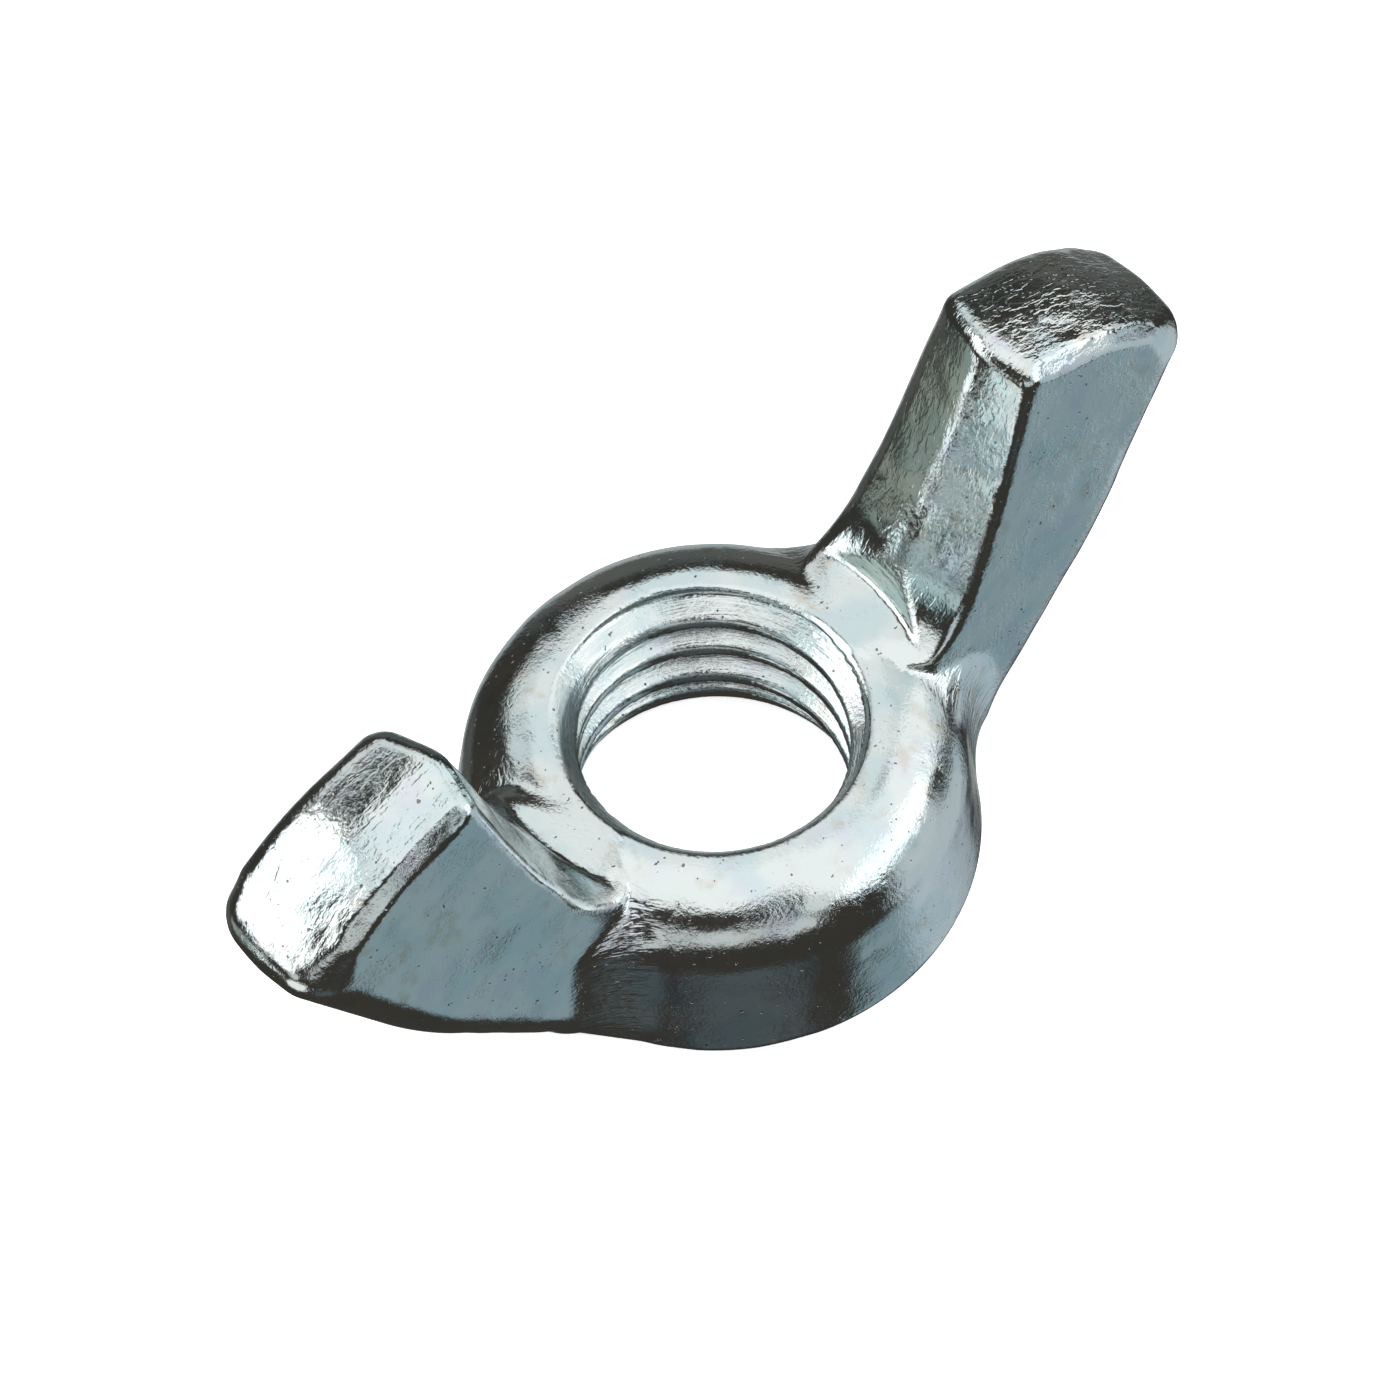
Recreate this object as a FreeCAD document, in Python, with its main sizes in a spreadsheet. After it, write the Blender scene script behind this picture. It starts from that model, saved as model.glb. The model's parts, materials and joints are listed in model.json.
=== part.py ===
import FreeCAD, Part
import math
import os
import Sketcher

MODEL = "wing_nut"

# Driving dimensions, in millimetres and degrees. Every one becomes a named cell of the sheet.
DIMS = {
    # Thread and bore.
    "pitch": 1.25,
    "minor_radius": 3.5,
    "thread_depth": 0.36,
    "thread_root_flat": 0.1,
    "thread_flank": 30.0,
    "thread_overlap": 0.1,
    "turns_below": 1.5,
    "sink_radius": 4.05,
    "sink_depth": 0.7,
    "sink_depth_below": 1.4,
    # Hub.
    "hub_height": 5.1,
    "hub_base_radius": 6.9,
    "hub_top_radius": 6.3,
    "shoulder_radius": 2.0,
    "base_edge": 0.3,
    # Wing side profile.
    "wing_reach": 15.4,
    "root_x": 5.85,
    "root_z": 5.14,
    "web_x": 3.8,
    "web_z": 3.0,
    "tip_x": 9.2,
    "tip_z": 13.45,
    "bend_x": 12.6,
    "bend_z": 12.15,
    "corner_z": 9.95,
    "belly_x": 11.85,
    "belly_z": 4.7,
    "heel_x": 7.4,
    "heel_z": 0.35,
    # Wing thickness, as half widths at the bearing face and at the height limit.
    "root_half_width": 2.9,
    "tip_half_width": 1.7,
    "height_limit": 13.5,
    # Roundings of the side profile, then of the long wing edges.
    "root_round": 2.7,
    "bend_round": 6.0,
    "belly_round": 15.0,
    "heel_round": 1.0,
    "edge_round": 1.25,
    "cap_round": 0.7,
}

MARGIN = 1.0
NEAR = 1e-4


def add_sheet(doc):
    """Put every driving dimension in a sheet cell with an alias."""
    sheet = doc.addObject("Spreadsheet::Sheet", "Dims")
    for row, (name, value) in enumerate(DIMS.items(), start=1):
        sheet.set("A%d" % row, name)
        sheet.set("B%d" % row, str(value))
        sheet.setAlias("B%d" % row, name)
    doc.recompute()
    return sheet


class Term:
    """A sheet value with the expression that binds to it."""

    def __init__(self, value, text):
        self.value = value
        self.text = text

    def __add__(self, other):
        return Term(self.value + other.value, "(%s + %s)" % (self.text, other.text))

    def __sub__(self, other):
        return Term(self.value - other.value, "(%s - %s)" % (self.text, other.text))

    def __neg__(self):
        return Term(-self.value, "(-%s)" % self.text)

    def times(self, other):
        return Term(self.value * other.value, "(%s * %s)" % (self.text, other.text))

    def times_tan(self, angle):
        value = self.value * math.tan(math.radians(angle.value))
        return Term(value, "(%s * tan(%s * 1 deg))" % (self.text, angle.text))


def dim(name):
    return Term(DIMS[name], "Dims.%s" % name)


def number(value):
    return Term(value, "%s" % value)


def origin_plane(body, role):
    """One of the body's own origin planes, found by its role."""
    for feature in body.Origin.OriginFeatures:
        if feature.Role == role:
            return feature
    raise ValueError("no origin plane " + role)


def new_sketch(body, role, name):
    sketch = body.newObject("Sketcher::SketchObject", name)
    sketch.AttachmentSupport = (origin_plane(body, role), [""])
    sketch.MapMode = "FlatFace"
    return sketch


def bind_point(sketch, index, position, point):
    """Fix one end point by its two coordinates, each bound to the sheet."""
    for kind, term in zip(("DistanceX", "DistanceY"), point):
        rule = Sketcher.Constraint(kind, -1, 1, index, position, term.value)
        number_of_rule = sketch.addConstraint(rule)
        sketch.setExpression("Constraints[%d]" % number_of_rule, term.text)


def draw_loop(sketch, points):
    """A closed loop of straight lines through bound points."""
    first = sketch.GeometryCount
    count = len(points)
    for index, point in enumerate(points):
        following = points[(index + 1) % count]
        start = FreeCAD.Vector(point[0].value, point[1].value, 0)
        end = FreeCAD.Vector(following[0].value, following[1].value, 0)
        sketch.addGeometry(Part.LineSegment(start, end), False)
    for index in range(count):
        following = (index + 1) % count
        sketch.addConstraint(Sketcher.Constraint("Coincident", first + index, 2, first + following, 1))
    for index, point in enumerate(points):
        bind_point(sketch, first + index, 1, point)


def mirrored(points):
    """The points followed by their mirror images across the vertical axis."""
    return points + [(-x, z) for x, z in reversed(points)]


def wing_profile(body):
    """Side view of both wings and the web between them, with sharp corners."""
    sketch = new_sketch(body, "XZ_Plane", "wing_profile")
    points = [
        (dim("heel_x"), dim("heel_z")),
        (dim("belly_x"), dim("belly_z")),
        (dim("wing_reach"), dim("corner_z")),
        (dim("bend_x"), dim("bend_z")),
        (dim("tip_x"), dim("tip_z")),
        (dim("root_x"), dim("root_z")),
        (dim("web_x"), dim("root_z")),
        (dim("web_x"), dim("web_z")),
    ]
    draw_loop(sketch, mirrored(points))
    return sketch


def add_wing_blank(body):
    """The wing profile at the full root thickness."""
    pad = body.newObject("PartDesign::Pad", "wing_blank")
    pad.Profile = wing_profile(body)
    pad.SideType = "Symmetric"
    pad.setExpression("Length", "2 * Dims.root_half_width")
    return pad


def add_wing_draft(body):
    """Slope both side faces of the wings towards the tips."""
    sketch = new_sketch(body, "YZ_Plane", "wing_draft")
    margin = number(MARGIN)
    outside = dim("root_half_width") + margin
    low = number(0.0)
    for sign in (1, -1):
        corners = [
            (dim("root_half_width"), low),
            (outside, low),
            (outside, dim("height_limit")),
            (dim("tip_half_width"), dim("height_limit")),
        ]
        if sign < 0:
            corners = [(-y, z) for y, z in reversed(corners)]
        draw_loop(sketch, corners)
    pocket = body.newObject("PartDesign::Pocket", "wing_sides")
    pocket.Profile = sketch
    pocket.SideType = "Symmetric"
    pocket.Type = "ThroughAll"
    return pocket


def edge_names(shape, wanted):
    """Names of the edges a test accepts."""
    return ["Edge%d" % (i + 1) for i, edge in enumerate(shape.Edges) if wanted(edge)]


def add_fillet(body, name, radius_name, wanted):
    """Round the edges of the tip feature that a test accepts."""
    body.Document.recompute()
    base = body.Tip
    names = edge_names(base.Shape, wanted)
    if not names:
        raise ValueError("no edges for " + name)
    fillet = body.newObject("PartDesign::Fillet", name)
    fillet.Base = (base, names)
    fillet.Radius = DIMS[radius_name]
    fillet.setExpression("Radius", "Dims.%s" % radius_name)
    body.Document.recompute()
    return fillet


def cross_edge_at(x, z):
    """A test for straight edges across the wings at one profile corner, on either side."""
    def wanted(edge):
        a, b = edge.Vertexes[0].Point, edge.Vertexes[-1].Point
        same_corner = abs(abs(a.x) - x) < NEAR and abs(a.z - z) < NEAR
        return same_corner and (a - FreeCAD.Vector(b.x, -b.y, b.z)).Length < NEAR
    return wanted


def side_edge(edge):
    """A test for edges that run along a wing side face rather than across it."""
    a, b = edge.Vertexes[0].Point, edge.Vertexes[-1].Point
    return a.y * b.y > 0


def cap_edge(edge):
    """A test for the rim of the wing caps."""
    lowest = min(vertex.Z for vertex in edge.Vertexes)
    return lowest > DIMS["corner_z"] - NEAR


def long_edge(edge):
    """A test for the long edges of the inner and outer wing faces."""
    widest = max(abs(vertex.X) for vertex in edge.Vertexes)
    in_web = widest < DIMS["web_x"] + NEAR
    return side_edge(edge) and not cap_edge(edge) and not in_web


def round_wings(body):
    """Round the profile corners, then the long edges, then the rim of each cap."""
    corners = [
        ("heel_fillet", "heel_round", DIMS["heel_x"], DIMS["heel_z"]),
        ("belly_fillet", "belly_round", DIMS["belly_x"], DIMS["belly_z"]),
        ("bend_fillet", "bend_round", DIMS["bend_x"], DIMS["bend_z"]),
        ("root_fillet", "root_round", DIMS["root_x"], DIMS["root_z"]),
    ]
    for name, radius_name, x, z in corners:
        add_fillet(body, name, radius_name, cross_edge_at(x, z))
    add_fillet(body, "edge_fillet", "edge_round", long_edge)
    add_fillet(body, "cap_fillet", "cap_round", cap_edge)


def round_sketch_corner(sketch, first, second, radius_name):
    """Round one corner of a loop; the bound corner point stays as a construction point."""
    ends = [sketch.getPoint(first, 1), sketch.getPoint(second, 2)]
    sketch.fillet(first, second, ends[0], ends[1], DIMS[radius_name], True, True)
    arc = sketch.GeometryCount - 1
    while not isinstance(sketch.Geometry[arc], Part.ArcOfCircle):
        arc -= 1
    rule = sketch.addConstraint(Sketcher.Constraint("Radius", arc, DIMS[radius_name]))
    sketch.setExpression("Constraints[%d]" % rule, "Dims.%s" % radius_name)


def add_hub(body):
    """The hub as a revolved boss with a drafted wall and a rounded shoulder."""
    sketch = new_sketch(body, "XZ_Plane", "hub_profile")
    zero = number(0.0)
    points = [
        (zero, zero),
        (dim("hub_base_radius") - dim("base_edge"), zero),
        (dim("hub_base_radius"), dim("base_edge")),
        (dim("hub_top_radius"), dim("hub_height")),
        (zero, dim("hub_height")),
    ]
    draw_loop(sketch, points)
    wall, top = 2, 3
    round_sketch_corner(sketch, wall, top, "shoulder_radius")
    hub = body.newObject("PartDesign::Revolution", "hub")
    hub.Profile = sketch
    hub.ReferenceAxis = (sketch, ["V_Axis"])
    hub.Angle = 360.0
    return hub


def add_bore(body):
    """The minor bore with a countersink at each end."""
    sketch = new_sketch(body, "XZ_Plane", "bore_profile")
    zero = number(0.0)
    margin = number(MARGIN)
    points = [
        (zero, -margin),
        (dim("sink_radius"), -margin),
        (dim("sink_radius"), zero),
        (dim("minor_radius"), dim("sink_depth_below")),
        (dim("minor_radius"), dim("hub_height") - dim("sink_depth")),
        (dim("sink_radius"), dim("hub_height")),
        (dim("sink_radius"), dim("hub_height") + margin),
        (zero, dim("hub_height") + margin),
    ]
    draw_loop(sketch, points)
    bore = body.newObject("PartDesign::Groove", "bore")
    bore.Profile = sketch
    bore.ReferenceAxis = (sketch, ["V_Axis"])
    bore.Angle = 360.0
    return bore


def add_thread(body):
    """The tapped groove, swept along the whole bore."""
    sketch = new_sketch(body, "XZ_Plane", "thread_profile")
    flat = dim("thread_root_flat").times(number(0.5))
    slope = dim("thread_depth") + dim("thread_overlap")
    mouth = flat + slope.times_tan(dim("thread_flank"))
    start = -dim("pitch").times(dim("turns_below"))
    inner = dim("minor_radius") - dim("thread_overlap")
    outer = dim("minor_radius") + dim("thread_depth")
    points = [
        (inner, start - mouth),
        (outer, start - flat),
        (outer, start + flat),
        (inner, start + mouth),
    ]
    draw_loop(sketch, points)
    thread = body.newObject("PartDesign::SubtractiveHelix", "thread")
    thread.Profile = sketch
    thread.ReferenceAxis = (sketch, ["V_Axis"])
    thread.Mode = 0
    thread.setExpression("Pitch", "Dims.pitch")
    thread.setExpression("Height", "Dims.hub_height + 2 * Dims.turns_below * Dims.pitch")
    thread.Reversed = False
    thread.LeftHanded = False
    return thread


def build_wing_nut(doc):
    """The one forged and tapped piece, with its wings along X and its bore along Z."""
    body = doc.addObject("PartDesign::Body", MODEL)
    body.Label = MODEL
    add_wing_blank(body)
    doc.recompute()
    add_wing_draft(body)
    doc.recompute()
    round_wings(body)
    add_hub(body)
    doc.recompute()
    add_bore(body)
    doc.recompute()
    add_thread(body)
    doc.recompute()
    body.Placement = FreeCAD.Placement()
    return body


def check(doc):
    """Stop on any feature that failed or any shape that is empty or invalid."""
    for item in doc.Objects:
        if "Invalid" in item.State or "Error" in item.State:
            raise RuntimeError("%s did not compute: %s" % (item.Name, item.State))
        shape = getattr(item, "Shape", None)
        if shape is not None and (shape.isNull() or not shape.isValid()):
            raise RuntimeError("%s has a bad shape" % item.Name)


def main():
    doc = FreeCAD.newDocument("WingNut")
    add_sheet(doc)
    node = build_wing_nut(doc)
    doc.recompute()
    check(doc)
    os.makedirs("parts", exist_ok=True)
    node.Shape.exportStep("parts/%s.step" % MODEL)
    print(MODEL, round(node.Shape.Volume, 1), "mm3,", len(node.Shape.Solids), "solid")


main()
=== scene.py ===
import json
import math

import bpy
import numpy as np
from mathutils import Matrix, Vector, noise


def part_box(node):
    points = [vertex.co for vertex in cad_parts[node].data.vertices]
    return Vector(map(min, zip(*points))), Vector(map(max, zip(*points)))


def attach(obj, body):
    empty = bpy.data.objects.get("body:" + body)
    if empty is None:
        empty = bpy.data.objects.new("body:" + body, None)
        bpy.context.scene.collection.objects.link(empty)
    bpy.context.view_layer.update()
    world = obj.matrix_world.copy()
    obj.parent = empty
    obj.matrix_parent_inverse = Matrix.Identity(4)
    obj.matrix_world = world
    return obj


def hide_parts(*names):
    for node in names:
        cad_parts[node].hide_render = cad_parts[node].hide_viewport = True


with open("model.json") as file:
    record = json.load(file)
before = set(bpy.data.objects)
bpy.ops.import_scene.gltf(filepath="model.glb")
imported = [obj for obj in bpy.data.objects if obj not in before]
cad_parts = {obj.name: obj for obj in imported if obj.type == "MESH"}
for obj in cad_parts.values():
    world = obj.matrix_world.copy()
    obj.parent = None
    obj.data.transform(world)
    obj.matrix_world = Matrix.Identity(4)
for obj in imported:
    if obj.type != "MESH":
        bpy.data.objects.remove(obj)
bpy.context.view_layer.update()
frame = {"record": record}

NODE = "wing_nut"
MM = 0.001

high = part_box(NODE)[1]
mounts = {mount["name"]: mount for mount in frame["record"]["mounts"]}
thread = mounts["thread"]

# Sizes in millimetres, from the frame. The hub's wall lies just inside the CAD model's.
INSET = 0.01
REACH = high.x / MM
HEIGHT = high.z / MM
HUB_R = high.y / MM - INSET
MINOR_R = thread["dims"]["r_mm"]
WALL = thread["dims"]["length_mm"]
WALL_MIDDLE = thread["pos_m"][2] / MM
WALL_LOW = WALL_MIDDLE - WALL / 2
WALL_HIGH = WALL_MIDDLE + WALL / 2

# The countersinks: how much wider than the bore they are, and the upper one's depth.
SINK_WIDER = 0.55
SINK_R = MINOR_R + SINK_WIDER
SINK_TOP = 0.7
BORE_EDGE = 0.1

# The hub: its wall leans in by HUB_DRAFT, and its two rims are rounded.
HUB_H = WALL_HIGH + SINK_TOP
HUB_DRAFT = 0.6
BASE_EDGE = 0.3
SHOULDER = 2.0

# The tapped groove: THREAD_START is the part of a turn by which it is turned about the axis.
PITCH = 1.25
GROOVE_DEPTH = 0.68
GROOVE_ROOT = 0.156
THREAD_START = 0.75
FLANK = math.tan(math.radians(30))

# A wing seen from the side. The inner face rises from its root through a shallow bow to the
# tip. The cap runs from the tip over the bend to the outermost corner, and the outer face
# goes down over the belly to the heel. Both outlines run on to FAR, and cross at the tip.
# The tip and the outermost corner lie just past the frame's size, and the roundings bring
# the wing back within it.
FAR = 30.0
TIP_PAST = 0.03
CORNER_PAST = 0.15
CRESCENT_STEP = 0.04
ROOT_X = 5.85
ROOT_Z = HUB_H + CRESCENT_STEP
ROOT_ROUND = 2.4
TIP_X = 9.15
TIP_Z = HEIGHT + TIP_PAST
BOW = 0.2
BOW_X = (ROOT_X + TIP_X) / 2 + BOW
BOW_Z = (HUB_H + TIP_Z) / 2
BOW_ROUND = 25.0
UPPER_LEAN = (TIP_X - BOW_X) / (TIP_Z - BOW_Z)
BEND_X = 12.6
BEND_Z = 12.3
BEND_ROUND = 6.0
CAP_SLOPE = (TIP_Z - BEND_Z) / (BEND_X - TIP_X)
CORNER_X = REACH + CORNER_PAST
CORNER_Z = 9.95
CORNER_ROUND = 0.9
BELLY_X = 11.8
BELLY_Z = 4.75
BELLY_ROUND = 15.0
HEEL_X = 7.4
HEEL_Z = 0.35
HEEL_ROUND = 1.0
INNER_OUTLINE = [
    # x, z, rounding
    (TIP_X + UPPER_LEAN * FAR, TIP_Z + FAR, 0.0),
    (BOW_X, BOW_Z, BOW_ROUND),
    (ROOT_X, ROOT_Z, ROOT_ROUND),
    (-FAR, ROOT_Z, 0.0),
    (-FAR, -FAR, 0.0),
    (FAR, -FAR, 0.0),
]
OUTER_OUTLINE = [
    # x, z, rounding
    (HEEL_X, HEEL_Z, HEEL_ROUND),
    (BELLY_X, BELLY_Z, BELLY_ROUND),
    (CORNER_X, CORNER_Z, CORNER_ROUND),
    (BEND_X, BEND_Z, BEND_ROUND),
    (BEND_X - FAR, BEND_Z + CAP_SLOPE * FAR, 0.0),
    (-FAR, HEEL_Z, 0.0),
]

# Half a wing's width, at the base and at the full height.
ROOT_HALF = 2.9
TIP_HALF = 1.8

# The low roof over a wing's faces: how far it falls to the edges, the roundness of its ridge,
# how far the whole roof is raised, and how far the inner face's ridge is off centre.
INNER_CROWN = 0.62
CAP_CROWN = 0.25
RIDGE_ROUND = 0.2
CROWN_LIFT = 0.4
RIDGE_Y = 0.25

# A wing's roundings: the rim between the inner face and the cap, then the long edges of each
# face, and the least one on the back. The cap's long edges are bevelled as well.
RIM = 0.5
INNER_EDGE = 0.2
CAP_EDGE = 0.25
OUTER_EDGE = 1.2
BACK_EDGE = 0.65
BACK_FADE = 1.0
CHAMFER = 0.36

# The cap lies above a point inside the wing, from these angles round it, in degrees.
MIDDLE_X = 10.2
MIDDLE_Z = 8.6
CAP_STARTS = (10, 45)
FACE_FADE = 0.6

# The fillet between hub and wings, and how far under the hub's top it shrinks to BLEND_TOP.
BLEND = 1.5
BLEND_TOP = 0.06
BLEND_SHRINKS = (1.3, 0.2)

# The round end of each wing's foot, on top of the hub.
CRESCENT_X = 6.75
CRESCENT_R = 2.85

# The cut that the facing tool left at the foot of each wing: a flared cylinder.
TOOL_X = 0.1
TOOL_Y = 0.4
TOOL_R = 5.68
TOOL_SLOPE = 0.36
CUT_EDGE = 0.1

# The true distance to a sloping wall, as a share of the level one.
TOOL_SHARE = 0.9
BORE_SHARE = 0.8

# Where the material's marks fade, in mm: over a wing's start, in from its long edges, into
# the bore's wall, at the top of the side creases, up the inner face, and at the tool's cut.
WING_FADE = 0.5
SIDE_FADE = (0.05, 0.4)
BORE_FADE = (-0.15, -0.05)
CREASE_FADE = 0.5
INNER_FADE = (0.2, 1.0)
TOOL_FADE = (-0.03, -0.005)
TOOL_RISE = (0.06, 0.2)

# The camera. Angles are in degrees, lengths in mm.
CAMERA_AZIMUTH = -40.7
CAMERA_ELEVATION = 56.66
CAMERA_ROLL = -1.757
CAMERA_DISTANCE = 244.67
CAMERA_AIM = (-0.442, -0.01, 6.5)
CAMERA_LENS = 247.64
CAMERA_SENSOR = 36
CAMERA_CLIP = 10

# The light table under the nut, and the lamp over it. Lengths are in metres.
FLOOR = 2.0
FLOOR_COLOUR = (0.9, 0.9, 0.9, 1)
FLOOR_ROUGHNESS = 0.9
FLOOR_GLOW = 0.72
LAMP_SIZE = 0.8
LAMP_HEIGHT = 0.6
LAMP_ENERGY = 3.0
PURE_WHITE = (1, 1, 1, 1)

# The room that the metal mirrors: dark, with soft round panels of light. Angles in degrees.
ROOM = (0.048, 0.043, 0.036)
WHITE = (1.15, 1.16, 1.15)
PANELS = [
    # azimuth, elevation, full within, gone past, colour
    (0, 90, 24, 31, WHITE),
    (-131, 70, 14, 20, WHITE),
    (178, 60, 12, 18, (1.0, 1.02, 1.01)),
    (-65, 52, 14, 19, WHITE),
    (-20, 46, 18, 24, WHITE),
    (15, 48, 9, 13, WHITE),
    (60, 56, 16, 22, (1.0, 1.02, 1.01)),
    (88, 36, 12, 18, (0.85, 0.87, 0.86)),
    (140, 32, 19, 25, (2.0, 2.02, 2.0)),
    (155, 18, 14, 20, (1.4, 1.42, 1.4)),
    (-62, 27, 13, 18, (1.7, 1.72, 1.72)),
    (-36, 26, 13, 18, (1.6, 1.62, 1.62)),
    (-12, 20, 9, 15, (1.0, 1.02, 1.02)),
    (2, 27, 9, 13, WHITE),
    (-3, 4, 8, 13, (0.72, 0.76, 0.77)),
    (-45, 0, 14, 20, (0.60, 0.66, 0.69)),
    (-88, 36, 7, 12, (0.80, 0.84, 0.83)),
    (-26, -26, 14, 24, (0.54, 0.60, 0.63)),
    (-48, -20, 12, 18, (0.55, 0.62, 0.65)),
    (-12, -50, 8, 16, (0.40, 0.46, 0.50)),
    (-52, -50, 11, 18, (0.27, 0.36, 0.39)),
    (-30, -40, 12, 20, (0.52, 0.60, 0.65)),
    (184, -29, 14, 18, (1.05, 1.07, 1.05)),
    (178, 3, 8, 12, (0.7, 0.71, 0.69)),
    (154, -20, 5, 8, (1.3, 1.35, 1.35)),
    (138, -24, 5, 14, (0.32, 0.36, 0.31)),
    (48, -12, 24, 36, (0.12, 0.12, 0.11)),
    (52, -42, 15, 26, (0.42, 0.45, 0.45)),
    (105, -38, 12, 22, (0.10, 0.10, 0.09)),
    (-122, -46, 10, 24, (0.09, 0.105, 0.11)),
    (-105, 18, 8, 15, (0.68, 0.70, 0.70)),
    (-128, 18, 8, 15, (0.68, 0.70, 0.70)),
    (-150, 18, 8, 15, (0.68, 0.70, 0.70)),
]

# The sampling grid, which is finer round the bore.
COARSE = 0.149
FINE = 0.1
FINE_HALF = 4.3

# The steps in each arc of an outline. Then the table of its distances: the step, the lowest
# corner, and how much longer and higher it is than the wing.
ARC_STEPS = 14
STEP_2D = 0.05
TABLE_LOW = -1.0
TABLE_ROOM = 3.0

# How points are moved onto the surface. MOST_MOVE is a share of the coarse step.
SLOPE_STEP = 0.01
SETTLE_ROUNDS = 3
LEAST_SLOPE = 0.2
MOST_MOVE = 0.5
TINY = 1e-9

# The hollows of a forged part: cycles per mm and depth in mm. CAP_RIPPLES is how much deeper
# the ripples are on the caps.
WAVE_SCALE = 0.45
WAVE_SIZE = 0.05
RIPPLE_SCALE = 1.5
RIPPLE_SIZE = 0.012
CAP_RIPPLES = 2

# The plating's relief: GRAIN is the depth in mm of one unit of height. A noise is its scale
# in cycles per mm, its detail and its roughness. A range is where a feature comes in, and a
# stretch scales each direction of the noise by itself.
GRAIN = 0.012
GRAIN_NOISE = (9.0, 3.0, 0.6)
GRAIN_LEAST = 0.5
GRAIN_PATCHES = 0.8
GRAIN_OFF_INNER = 0.35
PATCH_NOISE = (0.9, 2.0, 0.5)
PATCH_RANGE = (0.42, 0.62)
FLECK_STRETCH = (2.2, 5.0, 2.0)
FLECK_NOISE = (1.0, 2.0, 0.55)
FLECK_RANGE = (0.42, 0.60)
FLECK_HEIGHT = 1.6
INNER_FLECKS = 0.2
LEFT_CAP_FLECKS = 0.2
RIGHT_CAP_FLECKS = 0.65
CAPS_APART = 6.0
RING_STRETCH = (2.5, 14.0, 16.0)
RING_NOISE = (1.0, 3.0, 0.6)
RING_HEIGHT = 0.7
LINE_STRETCH = (1.2, 1.2, 7.0)
LINE_NOISE = (1.0, 2.0, 0.6)
LINE_HEIGHT = 6.0
TOOL_LINES = 0.3
PIT_NOISE = (6.0, 1.0, 0.5)
PIT_RANGE = (0.73, 0.79)
PIT_DEPTH = 1.5

# The plating's colours, a painted teal reflection, and its roughness over the grain's range.
BLUE_WHITE = (0.70, 0.75, 0.745, 1)
BLUE_GREY = (0.60, 0.70, 0.72, 1)
DRIFT_NOISE = (0.55, 2.0, 0.5)
DRIFT_RANGE = (0.45, 0.62)
VIOLET = (0.63, 0.64, 0.74, 1)
BROWN = (0.56, 0.48, 0.38, 1)
TINTS = [
    # where in the noise, the noise, range, share, colour
    ((31, 7, 3), (0.8, 3.0, 0.5), (0.52, 0.70), 0.5, VIOLET),
    ((3, 41, 17), (1.3, 4.0, 0.5), (0.58, 0.74), 0.45, BROWN),
]
# Painted reflection: the teal that the left wing's inner face shows, set into its colour, from x
# = -5 mm out to -8 mm.
TEAL_REFLECTION = (0.45, 0.60, 0.61, 1)
TEAL_REFLECTION_RANGE = (-5.0, -8.0)
CUT_GREY = (0.24, 0.29, 0.27, 1)
CUT_SHARE = 0.9
STAIN = (0.16, 0.12, 0.09, 1)
STAIN_SHARE = 0.8
ROUGH_GRAIN = (0.3, 0.7)
ROUGHNESS = (0.05, 0.14)
LINED_ROUGHNESS = 0.06


def rounded_outline(corners):
    """The profile as a dense closed outline, with an arc at each rounded corner."""
    points = []
    count = len(corners)
    for i, (x, z, radius) in enumerate(corners):
        corner = np.array([x, z])
        if radius == 0:
            points.append(corner)
            continue
        before = np.array(corners[i - 1][:2]) - corner
        after = np.array(corners[(i + 1) % count][:2]) - corner
        before /= np.linalg.norm(before)
        after /= np.linalg.norm(after)
        half = math.acos(np.clip(before @ after, -1, 1)) / 2
        middle = (before + after) / np.linalg.norm(before + after)
        centre = corner + middle * radius / math.sin(half)
        start = before * radius / math.tan(half) + corner - centre
        end = after * radius / math.tan(half) + corner - centre
        turn = math.atan2(start[0] * end[1] - start[1] * end[0], start @ end)
        for step in range(ARC_STEPS + 1):
            a = turn * step / ARC_STEPS
            spin = np.array([[math.cos(a), -math.sin(a)], [math.sin(a), math.cos(a)]])
            points.append(centre + spin @ start)
    return np.array(points)


def outline_distance(outline, x, z):
    """Signed distance from points to a closed outline, negative inside."""
    best = np.full(x.shape, np.inf)
    inside = np.zeros(x.shape, bool)
    for a, b in zip(outline, np.roll(outline, -1, axis=0)):
        run = b - a
        along = ((x - a[0]) * run[0] + (z - a[1]) * run[1]) / max(run @ run, TINY)
        along = np.clip(along, 0, 1)
        gap = (x - a[0] - along * run[0]) ** 2 + (z - a[1] - along * run[1]) ** 2
        best = np.minimum(best, gap)
        if a[1] != b[1]:
            spans = (a[1] > z) != (b[1] > z)
            inside ^= spans & (x < a[0] + (z - a[1]) * run[0] / run[1])
    return np.where(inside, -1, 1) * np.sqrt(best)


class Table:
    """Profile distances on a fine grid, read back between the grid points."""

    def __init__(self, outline, reach, height):
        x = TABLE_LOW + STEP_2D * np.arange(int((reach + TABLE_ROOM) / STEP_2D))
        z = TABLE_LOW + STEP_2D * np.arange(int((height + TABLE_ROOM) / STEP_2D))
        self.values = outline_distance(outline, *np.meshgrid(x, z, indexing="ij"))

    def read(self, x, z):
        """The distance at any place, blended from the four table points round it."""
        u = np.clip((x - TABLE_LOW) / STEP_2D, 0, self.values.shape[0] - 2)
        w = np.clip((z - TABLE_LOW) / STEP_2D, 0, self.values.shape[1] - 2)
        i, k = u.astype(int), w.astype(int)
        u, w = u - i, w - k
        v = self.values
        near = v[i, k] * (1 - u) + v[i + 1, k] * u
        far = v[i, k + 1] * (1 - u) + v[i + 1, k + 1] * u
        return near * (1 - w) + far * w


inner_table = Table(rounded_outline(INNER_OUTLINE), REACH, HEIGHT)
outer_table = Table(rounded_outline(OUTER_OUTLINE), REACH, HEIGHT)


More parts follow.
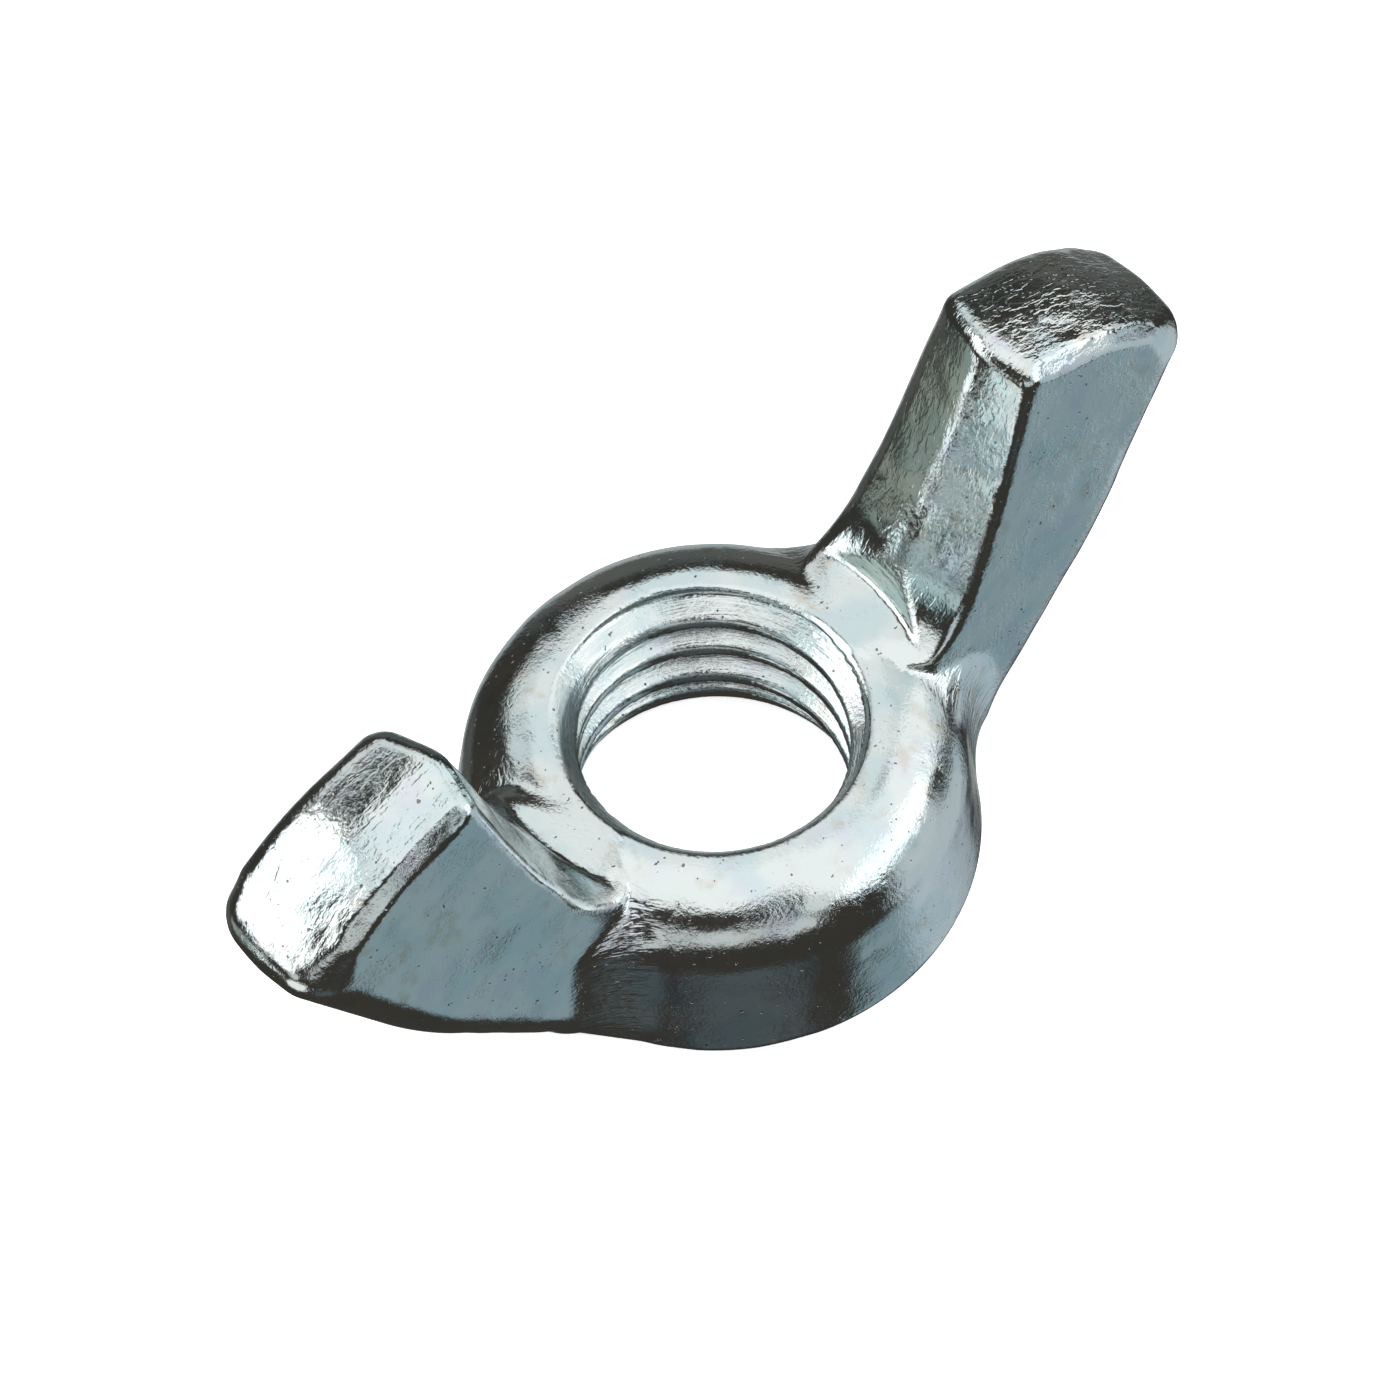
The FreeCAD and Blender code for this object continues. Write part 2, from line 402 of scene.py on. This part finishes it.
def round_and(a, b, radius):
    """What two shapes share, with the edge between them rounded."""
    corner = np.hypot(np.maximum(a + radius, 0), np.maximum(b + radius, 0))
    return np.minimum(-radius, np.maximum(a, b)) + corner


def smooth_or(a, b, reach):
    """Two shapes joined with a fillet."""
    mix = np.maximum(reach - np.abs(a - b), 0) / reach
    return np.minimum(a, b) - mix * mix * reach / 4


def ramp(value, start, end):
    """0 before start, 1 after end, smooth between."""
    t = np.clip((value - start) / (end - start), 0, 1)
    return t * t * (3 - 2 * t)


def hub_field(r, z):
    """The drafted drum, with a rounded shoulder and foot."""
    draft = math.atan2(HUB_DRAFT, HUB_H - BASE_EDGE)
    wall = (r - HUB_R) * math.cos(draft) + (z - BASE_EDGE) * math.sin(draft)
    drum = round_and(wall, z - HUB_H, SHOULDER)
    return round_and(drum, -z, BASE_EDGE)


def crown(across):
    """A low roof with a rounded ridge, over a width from -1 to 1."""
    return np.hypot(across, RIDGE_ROUND) - CROWN_LIFT


def wing_sides(x, y, z):
    """The inner face, the cap and outer face together, both crowned, and half the width."""
    side = np.abs(x)
    half = ROOT_HALF + (TIP_HALF - ROOT_HALF) * z / HEIGHT
    across = y / half
    inner = inner_table.read(side, z) + INNER_CROWN * crown(across + RIDGE_Y / half)
    outer = outer_table.read(side, z) + CAP_CROWN * crown(across)
    return inner, outer, half


def wing_parts(x, y, z):
    """How much a point belongs to the wing's inner face, its cap and its outer face."""
    inner, outer, _ = wing_sides(x, y, z)
    turn = np.degrees(np.arctan2(z - MIDDLE_Z, np.abs(x) - MIDDLE_X))
    on_inner = ramp(inner - outer, -FACE_FADE, FACE_FADE)
    above = ramp(turn, *CAP_STARTS)
    return on_inner, (1 - on_inner) * above, (1 - on_inner) * (1 - above)


def wing_field(x, y, z):
    """Both wings, with a rounding of its own on each face's edges."""
    inner, outer, half = wing_sides(x, y, z)
    on_inner, on_cap, on_outer = wing_parts(x, y, z)
    edge = on_inner * INNER_EDGE + on_cap * CAP_EDGE + on_outer * OUTER_EDGE
    edge = np.maximum(edge, BACK_EDGE * ramp(y, -BACK_FADE, BACK_FADE))
    profile = round_and(inner, outer, RIM)
    side = np.abs(y) - half
    chamfer = (profile + side + CHAMFER * on_cap) / math.sqrt(2)
    slab = np.maximum(round_and(profile, side, edge), chamfer)
    foot = np.hypot(np.minimum(np.abs(x) - CRESCENT_X, 0), y) - CRESCENT_R
    return np.maximum(slab, foot)


def tool_field(x, y, z):
    """The space swept by the facing tool above the hub."""
    side = np.abs(x) - TOOL_X
    reach = TOOL_R + (z - HUB_H) * TOOL_SLOPE
    wall = (np.hypot(side, y - TOOL_Y) - reach) * TOOL_SHARE
    return np.maximum(wall, ROOT_Z - z)


def thread_depth(x, y, z):
    """How far the tapped groove goes behind the minor radius."""
    turn = z / PITCH - np.arctan2(y, x) / (2 * math.pi) + THREAD_START
    offset = np.abs((turn - np.floor(turn)) - 0.5) * PITCH
    mouth = GROOVE_ROOT / 2 + GROOVE_DEPTH * FLANK
    return np.clip((mouth - offset) / FLANK, 0, GROOVE_DEPTH)


def bore_field(x, y, z, r):
    """The open space of the bore, the thread and both countersinks."""
    flare = (np.minimum(z, HUB_H) - WALL_HIGH) / SINK_TOP
    top = MINOR_R + flare * (SINK_R - MINOR_R)
    bottom = MINOR_R + (WALL_LOW - z) * (SINK_R - MINOR_R) / WALL_LOW
    tapped = MINOR_R + thread_depth(x, y, z)
    wall = np.maximum(np.maximum(top, bottom), tapped)
    return (r - wall) * BORE_SHARE


def nut_field(x, y, z):
    """The whole nut: hub and wings joined, cut flat below, faced, and bored."""
    r = np.hypot(x, y)
    starts, ends = BLEND_SHRINKS
    fillet = BLEND_TOP + (BLEND - BLEND_TOP) * (1 - ramp(z, HUB_H - starts, HUB_H - ends))
    body = smooth_or(hub_field(r, z), wing_field(x, y, z), fillet)
    body = np.maximum(body, -z)
    body = round_and(body, -tool_field(x, y, z), CUT_EDGE)
    return round_and(body, -bore_field(x, y, z, r), BORE_EDGE)


def grid_line(start, end, fine_start, fine_end):
    """Sample places along one axis, closer together over the fine stretch."""
    places = [start]
    while places[-1] < end:
        here = places[-1]
        places.append(here + (FINE if fine_start <= here < fine_end else COARSE))
    return np.array(places)


def surface_net(xs, ys, zs, field):
    """A closed quad mesh of the field's zero surface."""
    inside = field < 0
    shape = tuple(n - 1 for n in field.shape)
    corners = [(i, j, k) for i in (0, 1) for j in (0, 1) for k in (0, 1)]

    def shifted(values, corner):
        return values[tuple(slice(c, c + n) for c, n in zip(corner, shape))]

    total = sum(shifted(inside, corner).astype(np.int8) for corner in corners)
    cell = np.nonzero((total > 0) & (total < 8))
    number = np.full(shape, -1, np.int64)
    number[cell] = np.arange(len(cell[0]))
    lines = (xs, ys, zs)
    place = np.zeros((len(cell[0]), 3))
    crossings = np.zeros(len(cell[0]))
    for a in corners:
        for axis in range(3):
            if a[axis]:
                continue
            b = tuple(c + (n == axis) for n, c in enumerate(a))
            at_a = tuple(c + d for c, d in zip(cell, a))
            at_b = tuple(c + d for c, d in zip(cell, b))
            fa, fb = field[at_a], field[at_b]
            crosses = (fa < 0) != (fb < 0)
            share = np.where(crosses, fa / np.where(crosses, fa - fb, 1), 0)
            for n in range(3):
                pa, pb = lines[n][at_a[n]], lines[n][at_b[n]]
                place[:, n] += np.where(crosses, pa + share * (pb - pa), 0)
            crossings += crosses
    place /= crossings[:, None]
    faces = []
    for axis in range(3):
        u, v = (axis + 1) % 3, (axis + 2) % 3
        first = [slice(None)] * 3
        second = [slice(None)] * 3
        first[axis], second[axis] = slice(0, -1), slice(1, None)
        for n in (u, v):
            first[n] = second[n] = slice(1, -1)
        a, b = inside[tuple(first)], inside[tuple(second)]
        for flip, hits in ((False, a & ~b), (True, ~a & b)):
            at = list(np.nonzero(hits))
            at[u], at[v] = at[u] + 1, at[v] + 1
            ring = []
            for du, dv in ((1, 1), (0, 1), (0, 0), (1, 0)):
                spot = list(at)
                spot[u], spot[v] = at[u] - du, at[v] - dv
                ring.append(number[tuple(spot)])
            ring = ring[::-1] if flip else ring
            faces.append(np.stack(ring, axis=1))
    return place, np.concatenate(faces)


def slope(points):
    """The field and its gradient at each point."""
    x, y, z = points.T
    h = SLOPE_STEP
    across = [
        nut_field(x + h, y, z) - nut_field(x - h, y, z),
        nut_field(x, y + h, z) - nut_field(x, y - h, z),
        nut_field(x, y, z + h) - nut_field(x, y, z - h),
    ]
    return nut_field(x, y, z), np.stack(across, axis=1) / (2 * h)


def settle(points):
    """Move points onto the surface along the field's gradient."""
    start = points.copy()
    for _ in range(SETTLE_ROUNDS):
        value, gradient = slope(points)
        size = np.maximum((gradient ** 2).sum(axis=1), LEAST_SLOPE)
        points = points - gradient * (value / size)[:, None]
        moved = points - start
        far = np.linalg.norm(moved, axis=1)
        limit = np.minimum(1, MOST_MOVE * COARSE / np.maximum(far, TINY))
        points = start + moved * limit[:, None]
    return points


def surface_marks(points):
    """How much each point is on the cap, inner face, bore, side creases and tool cut."""
    x, y, z = points.T
    r = np.hypot(x, y)
    hub, wing = hub_field(r, z), wing_field(x, y, z)
    on_wing = ramp(hub - wing, 0.0, WING_FADE)
    inner, cap, _ = wing_parts(x, y, z)
    half = wing_sides(x, y, z)[2]
    off_side = ramp(half - np.abs(y), *SIDE_FADE)
    above = z - HUB_H
    crease = ramp(BLEND - np.abs(hub - wing), 0.0, BLEND)
    return {
        "cap": on_wing * cap * off_side,
        "inner": on_wing * inner * off_side * ramp(above, *INNER_FADE),
        "bore": ramp(-bore_field(x, y, z, r), *BORE_FADE),
        "crease": crease * (1 - ramp(above, -CREASE_FADE, 0)),
        "tool": ramp(-np.abs(tool_field(x, y, z)), *TOOL_FADE) * ramp(above, *TOOL_RISE),
    }


def roughened(points, marks):
    """The points moved inward along the normal, by a forged part's hollows, outside the bore."""
    _, gradient = slope(points)
    normal = gradient / np.maximum(np.linalg.norm(gradient, axis=1), TINY)[:, None]
    waves = np.array([noise.noise(Vector(p) * WAVE_SCALE) for p in points])
    ripples = np.array([noise.noise(Vector(p) * RIPPLE_SCALE) for p in points])
    plain = 1 - marks["bore"]
    amount = WAVE_SIZE * waves + RIPPLE_SIZE * ripples * (1 + CAP_RIPPLES * marks["cap"])
    return points + normal * (np.minimum(amount, 0) * plain)[:, None]


def make_nut():
    """The nut as one closed mesh, riding on the CAD node's body."""
    pad = 2 * COARSE
    xs = grid_line(-REACH - pad, REACH + pad, -FINE_HALF, FINE_HALF)
    ys = grid_line(-HUB_R - pad, HUB_R + pad, -FINE_HALF, FINE_HALF)
    zs = grid_line(-pad, HEIGHT + pad, -pad, HUB_H)
    field = nut_field(xs[:, None, None], ys[None, :, None], zs[None, None, :])
    points, faces = surface_net(xs, ys, zs, field)
    points = settle(points)
    marks = surface_marks(points)
    points = roughened(points, marks)
    mesh = bpy.data.meshes.new("zinc_wing_nut")
    mesh.from_pydata((points * MM).tolist(), [], faces.tolist())
    mesh.shade_smooth()
    for name, values in marks.items():
        mark = mesh.attributes.new(name, "FLOAT", "POINT")
        mark.data.foreach_set("value", values.astype(np.float32))
    piece = bpy.data.objects.new("zinc_wing_nut", mesh)
    bpy.context.collection.objects.link(piece)
    return piece


class Graph:
    """A material's nodes, added and linked a line at a time."""

    def __init__(self, name):
        self.material = bpy.data.materials.new(name)
        self.material.use_nodes = True
        self.nodes = self.material.node_tree.nodes
        self.links = self.material.node_tree.links
        self.shader = self.nodes["Principled BSDF"]
        coords = self.nodes.new("ShaderNodeTexCoord")
        self.place = self.vector("SCALE", coords.outputs["Object"], scale=1 / MM)

    def set(self, socket, value):
        """Link a socket to another node's output, or give it a plain value."""
        if isinstance(value, bpy.types.NodeSocket):
            self.links.new(value, socket)
        else:
            socket.default_value = value

    def vector(self, operation, a, b=None, scale=None):
        node = self.nodes.new("ShaderNodeVectorMath")
        node.operation = operation
        self.set(node.inputs[0], a)
        if b is not None:
            self.set(node.inputs[1], b)
        if scale is not None:
            self.set(node.inputs["Scale"], scale)
        return node.outputs["Value" if operation == "LENGTH" else "Vector"]

    def math(self, operation, a, b=0.0):
        node = self.nodes.new("ShaderNodeMath")
        node.operation = operation
        self.set(node.inputs[0], a)
        self.set(node.inputs[1], b)
        return node.outputs[0]

    def noise(self, place, scale, detail, roughness):
        node = self.nodes.new("ShaderNodeTexNoise")
        node.inputs["Scale"].default_value = scale
        node.inputs["Detail"].default_value = detail
        node.inputs["Roughness"].default_value = roughness
        self.set(node.inputs["Vector"], place)
        return node.outputs["Fac"]

    def spread(self, value, start, end, low=0.0, high=1.0):
        """The value's stretch from start to end, mapped smoothly to low to high."""
        node = self.nodes.new("ShaderNodeMapRange")
        node.interpolation_type = "SMOOTHSTEP"
        node.inputs["From Min"].default_value = start
        node.inputs["From Max"].default_value = end
        node.inputs["To Min"].default_value = low
        node.inputs["To Max"].default_value = high
        self.set(node.inputs["Value"], value)
        return node.outputs["Result"]

    def blend(self, share, a, b):
        """Colour a turned into colour b by a share."""
        node = self.nodes.new("ShaderNodeMix")
        node.data_type = "RGBA"
        self.set(node.inputs["Factor"], share)
        self.set(node.inputs["A"], a)
        self.set(node.inputs["B"], b)
        return node.outputs["Result"]

    def stretched(self, parts, stretch):
        """Three values, each times its own factor, as one vector."""
        node = self.nodes.new("ShaderNodeCombineXYZ")
        for socket, part, factor in zip(node.inputs, parts, stretch):
            self.set(socket, self.math("MULTIPLY", part, factor))
        return node.outputs[0]

    def mark(self, name):
        """One of the mesh's marks, by its name."""
        node = self.nodes.new("ShaderNodeAttribute")
        node.attribute_name = name
        return node.outputs["Fac"]


def zinc_height(g, marks, parts, fine, lined, pit):
    """The relief: patchy grain, flecks on the wings, scratches in the bore, lines and pits."""
    x, y, z = parts
    patches = g.spread(g.noise(g.place, *PATCH_NOISE), *PATCH_RANGE)
    coarseness = g.math("ADD", GRAIN_LEAST, g.math("MULTIPLY", patches, GRAIN_PATCHES))
    less = g.math("MULTIPLY", marks["inner"], GRAIN_OFF_INNER)
    grain = g.math("MULTIPLY", fine, g.math("SUBTRACT", coarseness, less))

    flecked = g.stretched((g.math("ABSOLUTE", x), y, z), FLECK_STRETCH)
    fleck = g.spread(g.noise(flecked, *FLECK_NOISE), *FLECK_RANGE)
    caps = g.spread(x, -CAPS_APART, CAPS_APART, LEFT_CAP_FLECKS, RIGHT_CAP_FLECKS)
    forged = g.math("MULTIPLY", marks["cap"], caps)
    forged = g.math("MAXIMUM", forged, g.math("MULTIPLY", marks["inner"], INNER_FLECKS))
    flecks = g.math("MULTIPLY", fleck, g.math("MULTIPLY", forged, FLECK_HEIGHT))

    radius = g.vector("LENGTH", g.vector("MULTIPLY", g.place, (1, 1, 0)))
    turned = g.stretched((g.math("ARCTAN2", y, x), radius, z), RING_STRETCH)
    ring = g.noise(turned, *RING_NOISE)
    rings = g.math("MULTIPLY", ring, g.math("MULTIPLY", marks["bore"], RING_HEIGHT))

    line = g.noise(g.stretched(parts, LINE_STRETCH), *LINE_NOISE)
    lines = g.math("MULTIPLY", line, g.math("MULTIPLY", lined, LINE_HEIGHT))

    height = g.math("ADD", g.math("ADD", g.math("ADD", grain, flecks), rings), lines)
    return g.math("SUBTRACT", height, g.math("MULTIPLY", pit, PIT_DEPTH))


def zinc_colour(g, marks, x, pit):
    """Blue-white plating with faint tints, a painted teal reflection on the left wing's inner
    face, a darker grey tool cut, and stained pits.
    """
    drift = g.spread(g.noise(g.place, *DRIFT_NOISE), *DRIFT_RANGE)
    colour = g.blend(drift, BLUE_WHITE, BLUE_GREY)
    for offset, patchwork, where, share, tint in TINTS:
        patch = g.spread(g.noise(g.vector("ADD", g.place, offset), *patchwork), *where)
        colour = g.blend(g.math("MULTIPLY", patch, share), colour, tint)
    # Painted reflection: only the left wing's inner face is coloured teal, fully from x = -8 mm
    # inward to none at -5 mm.
    teal_reflection = g.math("MULTIPLY", marks["inner"], g.spread(x, *TEAL_REFLECTION_RANGE))
    colour = g.blend(teal_reflection, colour, TEAL_REFLECTION)
    # The tool cut at each wing's foot is coloured a darker grey.
    colour = g.blend(g.math("MULTIPLY", marks["tool"], CUT_SHARE), colour, CUT_GREY)
    return g.blend(g.math("MULTIPLY", pit, STAIN_SHARE), colour, STAIN)


def zinc_material():
    """Bright zinc on forged steel."""
    g = Graph("bright_zinc")
    marks = {name: g.mark(name) for name in ("cap", "inner", "bore", "crease", "tool")}
    split = g.nodes.new("ShaderNodeSeparateXYZ")
    g.set(split.inputs[0], g.place)
    parts = tuple(split.outputs)
    fine = g.noise(g.place, *GRAIN_NOISE)
    lined = g.math("ADD", marks["crease"], g.math("MULTIPLY", marks["tool"], TOOL_LINES))
    pit = g.spread(g.noise(g.place, *PIT_NOISE), *PIT_RANGE)

    bump = g.nodes.new("ShaderNodeBump")
    bump.inputs["Distance"].default_value = GRAIN * MM
    g.set(bump.inputs["Height"], zinc_height(g, marks, parts, fine, lined, pit))
    g.set(g.shader.inputs["Normal"], bump.outputs["Normal"])
    g.set(g.shader.inputs["Base Color"], zinc_colour(g, marks, parts[0], pit))
    g.shader.inputs["Metallic"].default_value = 1.0
    rough = g.spread(fine, *ROUGH_GRAIN, *ROUGHNESS)
    scored = g.math("MULTIPLY", g.math("MAXIMUM", marks["bore"], lined), LINED_ROUGHNESS)
    g.set(g.shader.inputs["Roughness"], g.math("ADD", rough, scored))
    return g.material


def make_floor():
    """A pale light table under the nut."""
    mesh = bpy.data.meshes.new("floor")
    corners = [(-FLOOR, -FLOOR, 0), (FLOOR, -FLOOR, 0), (FLOOR, FLOOR, 0), (-FLOOR, FLOOR, 0)]
    mesh.from_pydata(corners, [], [(0, 1, 2, 3)])
    floor = bpy.data.objects.new("floor", mesh)
    bpy.context.collection.objects.link(floor)
    material = bpy.data.materials.new("pale_floor")
    material.use_nodes = True
    shader = material.node_tree.nodes["Principled BSDF"]
    shader.inputs["Base Color"].default_value = FLOOR_COLOUR
    shader.inputs["Roughness"].default_value = FLOOR_ROUGHNESS
    shader.inputs["Emission Color"].default_value = PURE_WHITE
    shader.inputs["Emission Strength"].default_value = FLOOR_GLOW
    floor.data.materials.append(material)
    floor.visible_glossy = False


def make_camera():
    """The photo's camera. Its azimuth is measured from -Y."""
    azimuth, elevation = math.radians(CAMERA_AZIMUTH), math.radians(CAMERA_ELEVATION)
    back = Vector((
        math.sin(azimuth) * math.cos(elevation),
        -math.cos(azimuth) * math.cos(elevation),
        math.sin(elevation),
    ))
    data = bpy.data.cameras.new("camera")
    data.lens = CAMERA_LENS
    data.sensor_width = CAMERA_SENSOR
    data.clip_start = CAMERA_CLIP * MM
    camera = bpy.data.objects.new("camera", data)
    bpy.context.collection.objects.link(camera)
    level = (-back).to_track_quat("-Z", "Y").to_matrix()
    turned = level @ Matrix.Rotation(math.radians(CAMERA_ROLL), 3, "Z")
    place = Vector(CAMERA_AIM) * MM + back * (CAMERA_DISTANCE * MM)
    camera.matrix_world = Matrix.Translation(place) @ turned.to_4x4()
    bpy.context.scene.camera = camera


def heading(azimuth, elevation):
    """The unit vector at an azimuth from +X and an elevation, both in degrees."""
    azimuth, elevation = math.radians(azimuth), math.radians(elevation)
    level = math.cos(elevation)
    return Vector((level * math.cos(azimuth), level * math.sin(azimuth), math.sin(elevation)))


def make_world():
    """A dark room with soft panels of light, which the camera itself sees as white."""
    world = bpy.data.worlds.new("studio")
    world.use_nodes = True
    bpy.context.scene.world = world
    nodes, links = world.node_tree.nodes, world.node_tree.links
    coords = nodes.new("ShaderNodeTexCoord")
    total = None
    for azimuth, elevation, full, gone, colour in PANELS:
        toward = nodes.new("ShaderNodeVectorMath")
        toward.operation = "DOT_PRODUCT"
        toward.inputs[1].default_value = heading(azimuth, elevation)
        links.new(coords.outputs["Generated"], toward.inputs[0])
        share = nodes.new("ShaderNodeMapRange")
        share.interpolation_type = "SMOOTHSTEP"
        share.inputs["From Min"].default_value = math.cos(math.radians(gone))
        share.inputs["From Max"].default_value = math.cos(math.radians(full))
        links.new(toward.outputs["Value"], share.inputs["Value"])
        panel = nodes.new("ShaderNodeVectorMath")
        panel.operation = "SCALE"
        panel.inputs[0].default_value = colour
        links.new(share.outputs["Result"], panel.inputs["Scale"])
        brightest = nodes.new("ShaderNodeVectorMath")
        brightest.operation = "MAXIMUM"
        brightest.inputs[0].default_value = ROOM
        links.new(panel.outputs["Vector"], brightest.inputs[1])
        if total:
            links.new(total, brightest.inputs[0])
        total = brightest.outputs["Vector"]
    background = nodes["Background"]
    links.new(total, background.inputs["Color"])
    seen = nodes.new("ShaderNodeBackground")
    seen.inputs["Color"].default_value = PURE_WHITE
    rays = nodes.new("ShaderNodeLightPath")
    mix = nodes.new("ShaderNodeMixShader")
    links.new(rays.outputs["Is Camera Ray"], mix.inputs["Fac"])
    links.new(background.outputs["Background"], mix.inputs[1])
    links.new(seen.outputs["Background"], mix.inputs[2])
    links.new(mix.outputs["Shader"], nodes["World Output"].inputs["Surface"])


def make_light():
    """A wide overhead light for the floor. It has no mirror image in the nut."""
    data = bpy.data.lights.new("overhead", "AREA")
    data.shape = "DISK"
    data.size = LAMP_SIZE
    data.energy = LAMP_ENERGY
    light = bpy.data.objects.new("overhead", data)
    light.location = (0, 0, LAMP_HEIGHT)
    light.visible_glossy = False
    bpy.context.collection.objects.link(light)


nut = make_nut()
nut.data.materials.append(zinc_material())
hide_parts(NODE)
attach(nut, "root")
make_floor()
make_camera()
make_world()
make_light()
bpy.context.scene.view_settings.view_transform = "Standard"
